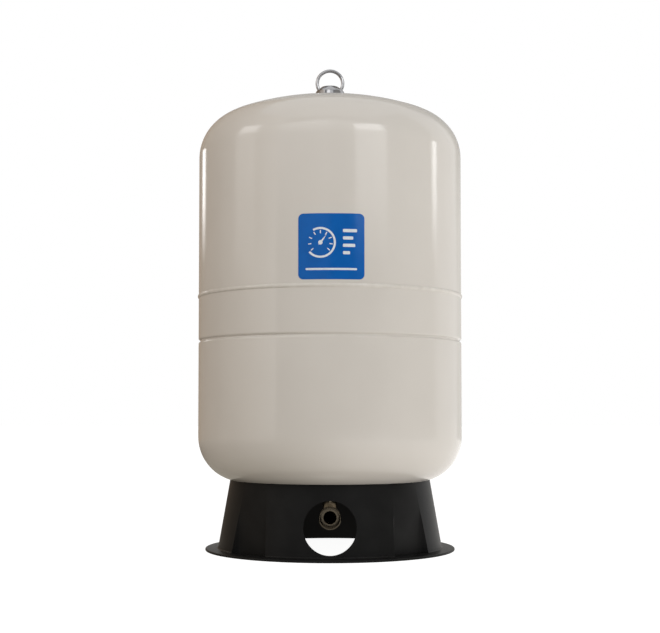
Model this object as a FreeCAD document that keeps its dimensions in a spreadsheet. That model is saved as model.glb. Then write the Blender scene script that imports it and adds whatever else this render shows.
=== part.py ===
# Well pressure tank: a welded steel vessel on a moulded stand, with its water connection
# at the bottom and its air valve under a ringed cap at the top.
# Millimetres. The origin is on the tank's axis at floor level, +Z is up and -Y is the front.
import FreeCAD, Part
import math
import os
import re
import Sketcher

Vector = FreeCAD.Vector

SIZES = {
    # Steel shells
    "shell_radius": 225.0,
    "shell_wall": 2.0,
    "half_straight": 238.0,
    "crown_radius": 494.0,
    "knuckle_radius": 76.5,
    "weld_gap": 1.5,
    "weld_width": 6.8,
    "weld_height": 1.65,
    "groove_below_girth": 76.3,
    "groove_depth": 2.9,
    "groove_half_width": 4.7,
    "groove_root_radius": 2.0,
    # Moulded stand
    "stand_height": 118.8,
    "stand_wall": 3.0,
    "rim_inset": 54.6,
    "foot_flare": 20.8,
    "flange_width": 21.0,
    "flange_thickness": 4.0,
    "flange_edge_radius": 1.8,
    "foot_fillet": 3.0,
    "seat_clearance": 0.1,
    "recess_step": 5.1,
    "recess_half_width": 33.0,
    "recess_splay": 36.0,
    "recess_corner": 8.0,
    "bolt_step": 3.1,
    "bolt_hole_radius": 4.5,
    "hole_height": 51.1,
    "hole_radius": 42.25,
    # Diaphragm, liner and clench ring
    "liner_wall": 3.0,
    "liner_clearance": 0.3,
    "liner_rim_height": 16.0,
    "liner_land_radius": 27.0,
    "liner_land_height": 1.6,
    "diaphragm_wall": 3.0,
    "diaphragm_lift": 21.0,
    "diaphragm_clearance": 0.2,
    "clench_height": 24.0,
    "clench_wall": 6.2,
    "clench_clearance": 0.2,
    # Water connection
    "tube_radius": 12.7,
    "tube_wall": 1.5,
    "tube_bend_radius": 26.0,
    "tube_top_reach": 20.0,
    "tube_hole_clearance": 0.3,
    "tube_straight": 2.88,
    "socket_reach": 56.0,
    "socket_radius": 18.9,
    "socket_length": 28.0,
    "socket_shoulder": 7.0,
    "socket_thread_radius": 15.15,
    "socket_thread_length": 19.0,
    "socket_chamfer": 1.2,
    "socket_tube_depth": 7.0,
    "socket_fit": 0.05,
    "inlet_weld_leg": 3.6,
    "inlet_gasket_radius": 24.0,
    "inlet_gasket_thickness": 2.0,
    "inlet_washer_radius": 22.5,
    "inlet_washer_thickness": 1.5,
    "inlet_nut_flats": 38.0,
    "inlet_nut_height": 7.0,
    "thread_clearance": 0.05,
    # Air valve
    "boss_spigot_radius": 9.0,
    "boss_spigot_length": 8.0,
    "boss_radius": 21.5,
    "boss_height": 9.0,
    "boss_fit": 0.1,
    "stem_shank_radius": 4.9,
    "stem_neck_radius": 3.85,
    "stem_hex_flats": 13.0,
    "stem_hex_height": 4.0,
    "stem_height": 20.0,
    "stem_core_radius": 2.65,
    "stem_core_depth": 7.0,
    "stem_bore_radius": 2.15,
    "core_barrel_radius": 2.6,
    "core_lower_radius": 2.0,
    "core_barrel_drop": 0.6,
    "core_barrel_length": 13.0,
    "core_seal_height": 1.0,
    "core_end_wall": 1.4,
    "core_chamber_radius": 1.6,
    "pin_radius": 0.75,
    "pin_running_fit": 0.05,
    "pin_head_drop": 0.2,
    "pin_collar_height": 1.0,
    "pin_collar_radius": 1.5,
    "pin_cup_radius": 1.75,
    "pin_cup_height": 1.6,
    "pin_seal_height": 0.8,
    "spring_wire_radius": 0.17,
    "spring_mean_radius": 1.2,
    "spring_turns": 4.0,
    # Ringed cap
    "cap_height": 24.4,
    "cap_top_radius": 15.0,
    "cap_shoulder_radius": 24.4,
    "cap_shoulder_drop": 8.0,
    "cap_foot_radius": 28.0,
    "cap_edge_radius": 1.6,
    "cap_thread_clearance": 0.3,
    "cap_inner_radius": 9.0,
    "cap_crown": 3.2,
    "ring_radius": 22.1,
    "ring_wire_radius": 2.9,
    "ring_centre_rise": 31.3,
    "ring_end_angle": 40.0,
    # Front label
    "label_width": 103.0,
    "label_height": 102.8,
    "label_corner": 8.0,
    "label_thickness": 0.2,
    "label_glue": 0.05,
    "label_above_girth": 60.1,
    "label_offset": 2.1,
}

CORNERS = 4

# Radii of the stand, from the shell that it carries
RIM = "(shell_radius - rim_inset)"
FOOT = f"({RIM} + foot_flare)"
FLANGE = f"({FOOT} + flange_width)"
RECESS_FLOOR = f"({RIM} + recess_step)"
BOLT_CIRCLE = f"({FOOT} + bolt_step)"

# The two shells share one pressed head: a large crown arc that meets a small knuckle arc
CROWN_DROP = "sqrt((crown_radius - knuckle_radius)^2 - (shell_radius - knuckle_radius)^2)"
BOTTOM_LINE = f"(stand_height + sqrt(crown_radius^2 - {RIM}^2) - {CROWN_DROP})"
GIRTH = f"({BOTTOM_LINE} + half_straight)"
TOP_LINE = f"({GIRTH} + half_straight)"
APEX = f"({TOP_LINE} + crown_radius - {CROWN_DROP})"
NADIR = f"({BOTTOM_LINE} - crown_radius + {CROWN_DROP})"
GROOVE = f"({GIRTH} - groove_below_girth)"

# The water tube bends forward below its weld, which sets the socket's height
BEND_TOP = f"({NADIR} - inlet_weld_leg - tube_straight)"
SOCKET_HEIGHT = f"({BEND_TOP} - tube_bend_radius)"

doc = FreeCAD.newDocument("well_pressure_tank")
sheet = doc.addObject("Spreadsheet::Sheet", "Sizes")
for row, (size_name, size_value) in enumerate(SIZES.items(), start=1):
    sheet.set(f"A{row}", size_name)
    sheet.set(f"B{row}", str(size_value))
    sheet.setAlias(f"B{row}", size_name)
doc.recompute()


def bound(text):
    """Write a size expression with each size's name led by the sheet's name."""
    return re.sub(r"[a-z_]+", lambda word: f"Sizes.{word[0]}" if word[0] in SIZES else word[0], text)


def value(text):
    """The number that a size expression gives now."""
    return float(sheet.evalExpression(bound(text)))


def tie(thing, **properties):
    """Bind properties of an object to size expressions; __ in a name stands for a dot."""
    for name, text in properties.items():
        thing.setExpression(name.replace("__", "."), bound(text))


def origin_plane(body, role):
    """One of a body's own origin planes."""
    return next(item for item in body.Origin.OriginFeatures if item.Role == role)


def new_sketch(body, name, role="XZ_Plane", lift=None):
    """An empty sketch on a body's origin plane, lifted off it by a size expression."""
    sketch = body.newObject("Sketcher::SketchObject", name)
    sketch.AttachmentSupport = [(origin_plane(body, role), "")]
    sketch.MapMode = "FlatFace"
    if lift:
        tie(sketch, AttachmentOffset__Base__z=lift)
    return sketch


def pin_point(sketch, geometry, end, across, up):
    """Hold one end of a sketch line or arc at a place given by two size expressions."""
    for kind, text in (("DistanceX", across), ("DistanceY", up)):
        index = sketch.addConstraint(Sketcher.Constraint(kind, -1, 1, geometry, end, value(text)))
        sketch.setExpression(f"Constraints[{index}]", bound(text))


def draw_arc(sketch, start, finish, radius_text, turn):
    """An arc under half a turn; turn is +1 anticlockwise and -1 clockwise from start to finish."""
    radius = value(radius_text)
    chord = finish - start
    rise = math.sqrt(max(radius**2 - (chord.Length / 2)**2, 0.0))
    side = Vector(-chord.y, chord.x, 0).normalize()
    centre = (start + finish) * 0.5 + side * rise * turn
    first, last = (start, finish) if turn > 0 else (finish, start)
    begin = math.atan2(first.y - centre.y, first.x - centre.x)
    end = math.atan2(last.y - centre.y, last.x - centre.x)
    if end < begin:
        end += 2 * math.pi
    circle = Part.Circle(centre, Vector(0, 0, 1), radius)
    geometry = sketch.addGeometry(Part.ArcOfCircle(circle, begin, end), False)
    index = sketch.addConstraint(Sketcher.Constraint("Radius", geometry, radius))
    sketch.setExpression(f"Constraints[{index}]", bound(radius_text))
    return geometry, (1, 2) if turn > 0 else (2, 1)


def draw_outline(sketch, corners):
    """A closed outline of corners (across, up) or (across, up, radius, turn).

    A corner with a radius and turn starts an arc to the next corner, and any other a line.
    """
    places = [Vector(value(corner[0]), value(corner[1]), 0) for corner in corners]
    edges = []
    for index, corner in enumerate(corners):
        start = places[index]
        finish = places[(index + 1) % len(corners)]
        if len(corner) == 4:
            edges.append(draw_arc(sketch, start, finish, corner[2], corner[3]))
        else:
            edges.append((sketch.addGeometry(Part.LineSegment(start, finish), False), (1, 2)))
    for index, (geometry, ends) in enumerate(edges):
        following, next_ends = edges[(index + 1) % len(edges)]
        sketch.addConstraint(Sketcher.Constraint("Coincident", geometry, ends[1], following, next_ends[0]))
    for (geometry, ends), corner in zip(edges, corners):
        pin_point(sketch, geometry, ends[0], corner[0], corner[1])


def draw_circle(sketch, across, up, radius_text):
    """A circle whose centre and radius are size expressions."""
    circle = Part.Circle(Vector(value(across), value(up), 0), Vector(0, 0, 1), value(radius_text))
    geometry = sketch.addGeometry(circle, False)
    pin_point(sketch, geometry, 3, across, up)
    index = sketch.addConstraint(Sketcher.Constraint("Radius", geometry, value(radius_text)))
    sketch.setExpression(f"Constraints[{index}]", bound(radius_text))


def new_body(label):
    """A body with its own label."""
    body = doc.addObject("PartDesign::Body", label)
    body.Label = label
    return body


def revolve(body, name, corners, kind="Revolution"):
    """Turn an outline about the body's own Z axis."""
    sketch = new_sketch(body, f"{name}_outline")
    draw_outline(sketch, corners)
    feature = body.newObject(f"PartDesign::{kind}", name)
    feature.Profile = sketch
    feature.ReferenceAxis = (sketch, ["V_Axis"])
    feature.Angle = 360
    return feature


def turned_body(label, corners):
    """A body that is one turned outline."""
    body = new_body(label)
    revolve(body, f"{label}_turning", corners)
    return body


def pocket(body, name, sketch, backwards):
    """Cut a sketch through a body on one side, and make sure that it removed something."""
    doc.recompute()
    before = body.Shape.Volume
    feature = body.newObject("PartDesign::Pocket", name)
    feature.Profile = sketch
    feature.Type = "ThroughAll"
    feature.Reversed = backwards
    doc.recompute()
    if feature.Shape.Volume > before - 1e-6:
        raise RuntimeError(f"{name} removed nothing")
    return feature


def repeat_round(body, name, feature):
    """Repeat a feature at the four corners, about the body's Z axis."""
    pattern = body.newObject("PartDesign::PolarPattern", name)
    pattern.Originals = [feature]
    pattern.Axis = (next(item for item in body.Origin.OriginFeatures if item.Role == "Z_Axis"), [""])
    pattern.Angle = 360
    pattern.Occurrences = CORNERS
    body.Tip = pattern
    doc.recompute()
    return pattern


def fillet_edges(body, name, radius_text, chosen):
    """Round the edges of a body's tip that a test picks."""
    doc.recompute()
    base = body.Tip
    names = [f"Edge{number}" for number, edge in enumerate(base.Shape.Edges, start=1) if chosen(edge)]
    if not names:
        raise RuntimeError(f"{name} found no edge")
    feature = body.newObject("PartDesign::Fillet", name)
    feature.Base = (base, names)
    tie(feature, Radius=radius_text)
    doc.recompute()
    return feature


def head_join(inset, line, way):
    """Where the knuckle arc, set in from the outer skin, runs into the crown arc."""
    across = f"(crown_radius - {inset}) * (shell_radius - knuckle_radius) / (crown_radius - knuckle_radius)"
    up = (f"{line} {way} ((crown_radius - {inset}) * {CROWN_DROP} / (crown_radius - knuckle_radius)"
          f" - {CROWN_DROP})")
    return across, up


def crown_up(inset, line, way, across):
    """Height of the crown arc, set in from the outer skin, at a distance from the axis."""
    return f"{line} {way} (sqrt((crown_radius - {inset})^2 - ({across})^2) - {CROWN_DROP})"


def groove_half(inset):
    """Corner points of one half of the rolled groove, set in from the outer skin.

    A convex lip arc leaves the straight wall and runs into the concave root arc.
    """
    reach = "((groove_depth^2 + groove_half_width^2) / (2 * groove_depth))"
    lip = f"({reach} - groove_root_radius)"
    share = f"(({lip} - {inset}) / {reach})"
    across = f"shell_radius - {lip} + {share} * ({reach} - groove_depth)"
    rise = f"groove_half_width * (1 - {share})"
    return across, rise, f"({lip} - {inset})", f"(groove_root_radius + {inset})"


def grooved_wall(inset, upward):
    """Corners along the groove at an inset, from its bottom lip to its top lip or back."""
    across, rise, lip, root = groove_half(inset)
    straight = f"shell_radius - {inset}"
    middle = f"shell_radius - groove_depth - {inset}"
    low = [(straight, f"{GROOVE} - groove_half_width", lip, 1), (across, f"{GROOVE} - {rise}", root, -1)]
    root_point = (middle, GROOVE, root, -1)
    high = [(across, f"{GROOVE} + {rise}", lip, 1), (straight, f"{GROOVE} + groove_half_width")]
    if upward:
        return low + [root_point] + high
    return [
        (straight, f"{GROOVE} + groove_half_width", lip, -1),
        (across, f"{GROOVE} + {rise}", root, 1),
        (middle, GROOVE, root, 1),
        (across, f"{GROOVE} - {rise}", lip, -1),
        (straight, f"{GROOVE} - groove_half_width"),
    ]


def upper_shell():
    """Deep-drawn top half, with a hole at the crown for the valve boss."""
    hole = "boss_spigot_radius + boss_fit"
    outer_join = head_join("0", TOP_LINE, "+")
    inner_join = head_join("shell_wall", TOP_LINE, "+")
    edge = f"{GIRTH} + weld_gap / 2"
    return turned_body("upper_shell", [
        ("shell_radius", edge),
        ("shell_radius", TOP_LINE, "knuckle_radius", 1),
        (*outer_join, "crown_radius", 1),
        (hole, crown_up("0", TOP_LINE, "+", hole)),
        (hole, crown_up("shell_wall", TOP_LINE, "+", hole), "crown_radius - shell_wall", -1),
        (*inner_join, "knuckle_radius - shell_wall", -1),
        ("shell_radius - shell_wall", TOP_LINE),
        ("shell_radius - shell_wall", edge),
    ])


def lower_shell():
    """Deep-drawn bottom half, with the rolled groove that holds the clench ring."""
    hole = "tube_radius + tube_hole_clearance"
    outer_join = head_join("0", BOTTOM_LINE, "-")
    inner_join = head_join("shell_wall", BOTTOM_LINE, "-")
    edge = f"{GIRTH} - weld_gap / 2"
    return turned_body("lower_shell", [
        (hole, crown_up("0", BOTTOM_LINE, "-", hole), "crown_radius", 1),
        (*outer_join, "knuckle_radius", 1),
        ("shell_radius", BOTTOM_LINE),
        *grooved_wall("0", True),
        ("shell_radius", edge),
        ("shell_radius - shell_wall", edge),
        *grooved_wall("shell_wall", False),
        ("shell_radius - shell_wall", BOTTOM_LINE, "knuckle_radius - shell_wall", -1),
        (*inner_join, "crown_radius - shell_wall", -1),
        (hole, crown_up("shell_wall", BOTTOM_LINE, "-", hole)),
    ])


def girth_weld():
    """Weld metal that fills the gap between the halves and stands proud as a low bead."""
    inner = "shell_radius - shell_wall"
    arc = "(weld_width^2 / 4 + weld_height^2) / (2 * weld_height)"
    return turned_body("girth_weld", [
        (inner, f"{GIRTH} - weld_gap / 2"),
        ("shell_radius", f"{GIRTH} - weld_gap / 2"),
        ("shell_radius", f"{GIRTH} - weld_width / 2", arc, 1),
        ("shell_radius", f"{GIRTH} + weld_width / 2"),
        ("shell_radius", f"{GIRTH} + weld_gap / 2"),
        (inner, f"{GIRTH} + weld_gap / 2"),
    ])


def clench_ring():
    """Ring inside the rolled groove that squeezes the diaphragm on to the liner's rim."""
    inset = "(shell_wall + clench_clearance)"
    inner = "shell_radius - shell_wall - clench_wall"
    half = "clench_height / 2"
    return turned_body("clench_ring", [
        (inner, f"{GROOVE} - {half}"),
        (f"shell_radius - {inset}", f"{GROOVE} - {half}"),
        *grooved_wall(inset, True),
        (f"shell_radius - {inset}", f"{GROOVE} + {half}"),
        (inner, f"{GROOVE} + {half}"),
    ])


def water_liner():
    """Moulded liner of the water side, with a rim inside the clench ring and a flat land below."""
    outside = "(shell_wall + liner_clearance)"
    inside = "(shell_wall + liner_clearance + liner_wall)"
    rim = "shell_radius - shell_wall - clench_wall - diaphragm_wall - 2 * diaphragm_clearance"
    step = f"{GROOVE} - clench_height / 2 - liner_wall"
    hole = "tube_radius + tube_hole_clearance"
    land = f"{NADIR} + {inside} + liner_land_height"
    return turned_body("water_liner", [
        (hole, crown_up(outside, BOTTOM_LINE, "-", hole), f"crown_radius - {outside}", 1),
        (*head_join(outside, BOTTOM_LINE, "-"), f"knuckle_radius - {outside}", 1),
        (f"shell_radius - {outside}", BOTTOM_LINE),
        (f"shell_radius - {outside}", f"{step} - liner_wall"),
        (rim, step),
        (rim, f"{GROOVE} + liner_rim_height"),
        (f"{rim} - liner_wall", f"{GROOVE} + liner_rim_height"),
        (f"{rim} - liner_wall", f"{step} - liner_wall"),
        (f"shell_radius - {inside}", f"{step} - 3 * liner_wall"),
        (f"shell_radius - {inside}", BOTTOM_LINE, f"knuckle_radius - {inside}", -1),
        (*head_join(inside, BOTTOM_LINE, "-"), f"crown_radius - {inside}", -1),
        ("liner_land_radius", crown_up(inside, BOTTOM_LINE, "-", "liner_land_radius")),
        ("liner_land_radius", land),
        (hole, land),
    ])


def diaphragm():
    """Moulded rubber bag that divides air from water and folds over the liner's rim."""
    rim = "(shell_wall + clench_wall + diaphragm_wall + 2 * diaphragm_clearance + liner_wall)"
    outside = f"({rim} + diaphragm_clearance)"
    inside = f"({outside} + diaphragm_wall)"
    line = f"({BOTTOM_LINE} + diaphragm_lift)"
    skirt = "shell_radius - shell_wall - clench_wall - diaphragm_clearance"
    top = f"{GROOVE} + liner_rim_height + diaphragm_clearance"
    return turned_body("diaphragm", [
        ("0", crown_up(outside, line, "-", "0"), f"crown_radius - {outside}", 1),
        (*head_join(outside, line, "-"), f"knuckle_radius - {outside}", 1),
        (f"shell_radius - {outside}", line),
        (f"shell_radius - {outside}", top),
        (f"{skirt} - diaphragm_wall", top),
        (f"{skirt} - diaphragm_wall", f"{GROOVE} - clench_height / 2"),
        (skirt, f"{GROOVE} - clench_height / 2"),
        (skirt, f"{top} + diaphragm_wall"),
        (f"shell_radius - {inside}", f"{top} + diaphragm_wall"),
        (f"shell_radius - {inside}", line, f"knuckle_radius - {inside}", -1),
        (*head_join(inside, line, "-"), f"crown_radius - {inside}", -1),
        ("0", crown_up(inside, line, "-", "0")),
    ])


def stand_form():
    """Solid outside of the stand: a straight cone on a flange, cut back at the bolt corners."""
    body = new_body("stand_form")
    foot = f"{FOOT} - foot_flare / stand_height * (flange_thickness + foot_fillet)"
    low_edge = f"{FLANGE} - flange_edge_radius"
    high_edge = "flange_thickness - flange_edge_radius"
    revolve(body, "stand_turning", [
        ("0", "0"),
        (low_edge, "0", "flange_edge_radius", 1),
        (FLANGE, "flange_edge_radius"),
        (FLANGE, high_edge, "flange_edge_radius", 1),
        (low_edge, "flange_thickness"),
        (f"{foot} + foot_fillet", "flange_thickness", "foot_fillet", -1),
        (foot, "flange_thickness + foot_fillet"),
        (RIM, "stand_height"),
        ("0", "stand_height"),
    ])
    recess = recess_sketch(body, "bolt_recess_outline", "flange_thickness", "0")
    cut = pocket(body, "bolt_recess", recess, True)
    repeat_round(body, "bolt_recesses", cut)
    front = new_sketch(body, "front_hole_outline")
    draw_circle(front, "0", "hole_height", "hole_radius")
    pocket(body, "front_hole", front, True)
    bolts = new_sketch(body, "bolt_hole_outline", "XY_Plane")
    draw_circle(bolts, f"{BOLT_CIRCLE} * sin(45)", f"{BOLT_CIRCLE} * cos(45)", "bolt_hole_radius")
    hole = pocket(body, "bolt_hole", bolts, True)
    repeat_round(body, "bolt_holes", hole)
    return body


def recess_sketch(body, name, lift, wall):
    """Plan of one bolt recess: a flat floor across the diagonal, round corners and splayed sides."""
    sketch = new_sketch(body, name, "XY_Plane", lift)
    near = f"({RECESS_FLOOR} - {wall})"
    far = f"({FLANGE} + stand_wall)"
    turn = f"(recess_corner + {wall})"
    narrow = f"(recess_half_width + {wall} * (1 - sin(recess_splay)) / cos(recess_splay))"
    wide = f"({narrow} + ({far} - {near}) * tan(recess_splay))"
    run = f"({turn} / tan(45 + recess_splay / 2))"
    floor_end = f"({narrow} - {run})"
    side_out = f"({near} + {run} * cos(recess_splay))"
    side_across = f"({narrow} + {run} * sin(recess_splay))"
    corners = [
        (near, f"(0 - {floor_end})", turn, 1),
        (side_out, f"(0 - {side_across})"),
        (far, f"(0 - {wide})"),
        (far, wide),
        (side_out, side_across, turn, 1),
        (near, floor_end),
    ]
    draw_outline(sketch, [(f"({x} - {y}) * sin(45)", f"({x} + {y}) * sin(45)", *arc) for x, y, *arc in corners])
    return sketch


def stand_cavity():
    """Open space inside the stand, topped by the seat that follows the tank's bottom head."""
    body = new_body("stand_cavity")
    inner_foot = f"{FOOT} - stand_wall"
    inner_rim = f"{RIM} - stand_wall"
    beyond = f"{RIM} + 3 * stand_wall"
    above = "stand_height + 8 * stand_wall"
    inset = "(0 - seat_clearance)"
    revolve(body, "cavity_turning", [
        ("0", "0"),
        (inner_foot, "0"),
        (inner_rim, crown_up(inset, BOTTOM_LINE, "-", inner_rim), "crown_radius + seat_clearance", 1),
        (beyond, crown_up(inset, BOTTOM_LINE, "-", beyond)),
        (beyond, above),
        ("0", above),
    ])
    recess = recess_sketch(body, "recess_back_outline", "0", "stand_wall")
    cut = pocket(body, "recess_back", recess, True)
    repeat_round(body, "recess_backs", cut)
    return body


def stand():
    """One black moulding: the solid outside less the space inside."""
    moulding = doc.addObject("Part::Cut", "stand")
    moulding.Label = "stand"
    moulding.Base = stand_form()
    moulding.Tool = stand_cavity()
    return moulding


def water_elbow():
    """Bent tube from the bottom of the vessel to the socket behind the stand's hole."""
    body = new_body("water_elbow")
    top = f"{NADIR} + tube_top_reach"
    ring = new_sketch(body, "tube_section", "XY_Plane", top)
    draw_circle(ring, "0", "0", "tube_radius")
    draw_circle(ring, "0", "0", "tube_radius - tube_wall")
    path = new_sketch(body, "tube_path", "YZ_Plane")
    tube_end = "0 - (socket_reach - socket_length + socket_tube_depth)"
    start = Vector(0, value(top), 0)
    turn_in = Vector(0, value(BEND_TOP), 0)
    turn_out = Vector(-value("tube_bend_radius"), value(SOCKET_HEIGHT), 0)
    finish = Vector(value(tube_end), value(SOCKET_HEIGHT), 0)
    upright = path.addGeometry(Part.LineSegment(start, turn_in), False)
    bend, ends = draw_arc(path, turn_in, turn_out, "tube_bend_radius", -1)
    level = path.addGeometry(Part.LineSegment(turn_out, finish), False)
    path.addConstraint(Sketcher.Constraint("Coincident", upright, 2, bend, ends[0]))
    path.addConstraint(Sketcher.Constraint("Coincident", bend, ends[1], level, 1))
    pin_point(path, upright, 1, "0", top)
    pin_point(path, upright, 2, "0", BEND_TOP)
    pin_point(path, level, 1, "0 - tube_bend_radius", SOCKET_HEIGHT)
    pin_point(path, level, 2, tube_end, SOCKET_HEIGHT)
    pipe = body.newObject("PartDesign::AdditivePipe", "bent_tube")
    pipe.Profile = ring
    pipe.Spine = path
    return body


def threaded_socket():
    """Turned socket on the tube's end, with its thread's crests as a plain bore."""
    mouth = "socket_thread_radius + socket_chamfer"
    seat = "socket_length - socket_tube_depth"
    body = turned_body("threaded_socket", [
        (mouth, "0"),
        ("socket_radius - socket_chamfer", "0"),
        ("socket_radius", "socket_chamfer"),
        ("socket_radius", "socket_length - socket_shoulder"),
        ("tube_radius + tube_wall", "socket_length"),
        ("tube_radius + socket_fit", "socket_length"),
        ("tube_radius + socket_fit", seat),
        ("tube_radius - tube_wall", seat),
        ("tube_radius - tube_wall", "socket_thread_length"),
        ("socket_thread_radius", "socket_thread_length"),
        ("socket_thread_radius", "socket_chamfer"),
    ])
    body.Placement = FreeCAD.Placement(Vector(0, 0, 0), FreeCAD.Rotation(Vector(1, 0, 0), -90))
    tie(body, Placement__Base__y="0 - socket_reach", Placement__Base__z=SOCKET_HEIGHT)
    return body


def inlet_weld():
    """Fillet weld round the tube, under the hole in the bottom head."""
    toe = "tube_radius + inlet_weld_leg"
    return turned_body("inlet_weld", [
        ("tube_radius", f"{NADIR} - inlet_weld_leg"),
        (toe, crown_up("0", BOTTOM_LINE, "-", toe), "crown_radius", -1),
        ("tube_radius", crown_up("0", BOTTOM_LINE, "-", "tube_radius")),
    ])


def inlet_stack():
    """Gasket, washer and nut that hold the liner down round the tube."""
    land = f"{NADIR} + shell_wall + liner_clearance + liner_wall + liner_land_height"
    gasket_top = f"{land} + inlet_gasket_thickness"
    washer_top = f"{gasket_top} + inlet_washer_thickness"
    bore = "tube_radius + thread_clearance"
    turned_ring("inlet_gasket", bore, "inlet_gasket_radius", land, gasket_top)
    turned_ring("inlet_washer", bore, "inlet_washer_radius", gasket_top, washer_top)
    nut = new_body("inlet_nut")
    plan = new_sketch(nut, "inlet_nut_plan", "XY_Plane", washer_top)
    draw_hexagon(plan, "inlet_nut_flats")
    draw_circle(plan, "0", "0", bore)
    extrude(nut, "inlet_nut_blank", plan, "inlet_nut_height")


def turned_ring(label, inner, outer, low, high):
    """A plain ring between two radii and two heights."""
    return turned_body(label, [(inner, low), (outer, low), (outer, high), (inner, high)])


def draw_hexagon(sketch, flats):
    """A hexagon about the origin, given across its flats."""
    corners = []
    for number in range(6):
        corners.append((f"{flats} / sqrt(3) * cos({60 * number})", f"{flats} / sqrt(3) * sin({60 * number})"))
    draw_outline(sketch, corners)


def extrude(body, name, sketch, length):
    """Pad a sketch by a size expression."""
    pad = body.newObject("PartDesign::Pad", name)
    pad.Profile = sketch
    tie(pad, Length=length)
    return pad


def valve_boss():
    """Turned boss welded into the top hole; the cap screws over it and the valve into it."""
    under = crown_up("0", TOP_LINE, "+", "boss_spigot_radius")
    out = crown_up("0", TOP_LINE, "+", "boss_radius")
    bore = "stem_shank_radius + thread_clearance"
    return turned_body("valve_boss", [
        (bore, f"{APEX} - boss_spigot_length"),
        ("boss_spigot_radius", f"{APEX} - boss_spigot_length"),
        ("boss_spigot_radius", under, "crown_radius", -1),
        ("boss_radius", out),
        ("boss_radius", f"{APEX} + boss_height"),
        (bore, f"{APEX} + boss_height"),
    ])


def valve_stem():
    """Brass air valve body: a shank in the boss, a hexagon on it and a bored neck above."""
    body = new_body("valve_stem")
    seat = f"{APEX} + boss_height"
    top = f"{APEX} + stem_height"
    foot = f"{APEX} - boss_spigot_length"
    revolve(body, "stem_turning", [
        ("stem_bore_radius", foot),
        ("stem_shank_radius", foot),
        ("stem_shank_radius", seat),
        ("stem_neck_radius", seat),
        ("stem_neck_radius", top),
        ("stem_core_radius", top),
        ("stem_core_radius", f"{top} - stem_core_depth"),
        ("stem_bore_radius", f"{top} - stem_core_depth"),
    ])
    plan = new_sketch(body, "stem_hex_plan", "XY_Plane", seat)
    draw_hexagon(plan, "stem_hex_flats")
    draw_circle(plan, "0", "0", "stem_core_radius")
    extrude(body, "stem_hexagon", plan, "stem_hex_height")
    return body


def valve_core():
    """Core of the air valve: barrel, seal ring, spring, and the pin with its seal."""
    stem_top = f"{APEX} + stem_height"
    top = f"({stem_top} - core_barrel_drop)"
    foot = f"({top} - core_barrel_length)"
    shelf = f"({stem_top} - stem_core_depth)"
    seal_top = f"({shelf} + core_seal_height)"
    guide = "pin_radius + pin_running_fit"
    chamber_top = f"({top} - 2 * core_end_wall)"
    chamber_foot = f"({foot} + core_end_wall)"
    turned_body("core_barrel", [
        (guide, foot),
        ("core_lower_radius", foot),
        ("core_lower_radius", seal_top),
        ("core_barrel_radius", seal_top),
        ("core_barrel_radius", top),
        (guide, top),
        (guide, chamber_top),
        ("core_chamber_radius", chamber_top),
        ("core_chamber_radius", chamber_foot),
        (guide, chamber_foot),
    ])
    turned_ring("core_seal", "core_lower_radius", "core_barrel_radius", shelf, seal_top)
    collar_foot = f"({chamber_top} - pin_collar_height)"
    cup_top = f"({foot} - pin_seal_height)"
    turned_body("core_pin", [
        ("0", f"{cup_top} - pin_cup_height"),
        ("pin_cup_radius", f"{cup_top} - pin_cup_height"),
        ("pin_cup_radius", cup_top),
        ("pin_radius", cup_top),
        ("pin_radius", collar_foot),
        ("pin_collar_radius", collar_foot),
        ("pin_collar_radius", chamber_top),
        ("pin_radius", chamber_top),
        ("pin_radius", f"{stem_top} - pin_head_drop"),
        ("0", f"{stem_top} - pin_head_drop"),
    ])
    turned_ring("pin_seal", "pin_radius", "pin_cup_radius", cup_top, foot)
    spring = new_body("core_spring")
    wire = new_sketch(spring, "spring_wire_section")
    draw_circle(wire, "spring_mean_radius", f"{chamber_foot} + spring_wire_radius", "spring_wire_radius")
    coil = spring.newObject("PartDesign::AdditiveHelix", "spring_coil")
    coil.Profile = wire
    coil.ReferenceAxis = (wire, ["V_Axis"])
    coil.Mode = 1
    tie(coil, Height=f"{collar_foot} - {chamber_foot} - 2 * spring_wire_radius", Turns="spring_turns")
    coil.Pitch = value(f"({collar_foot} - {chamber_foot} - 2 * spring_wire_radius) / spring_turns")
    coil.Angle = 0


def ring_cap():
    """Turned cap that screws over the boss and covers the air valve."""
    cap = new_body("ring_cap")
    base = f"({APEX} + cap_thread_clearance)"
    top = f"({APEX} + cap_height)"
    shoulder = f"({top} - cap_shoulder_drop)"
    seat = f"({APEX} + boss_height)"
    thread = "boss_radius + cap_thread_clearance"
    revolve(cap, "cap_turning", [
        (thread, base),
        ("cap_foot_radius", base),
        ("cap_shoulder_radius", shoulder),
        ("cap_top_radius", top),
        ("0", top),
        ("0", f"{top} - cap_crown"),
        ("cap_inner_radius", f"{top} - cap_crown"),
        ("cap_inner_radius", seat),
        (thread, seat),
    ])
    rounded = (value("cap_top_radius"), value("cap_shoulder_radius"))

    def outer_edge(edge):
        curve = edge.Curve
        return curve.TypeId == "Part::GeomCircle" and any(abs(curve.Radius - radius) < 1e-6 for radius in rounded)

    fillet_edges(cap, "cap_edges", "cap_edge_radius", outer_edge)
    return cap


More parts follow.
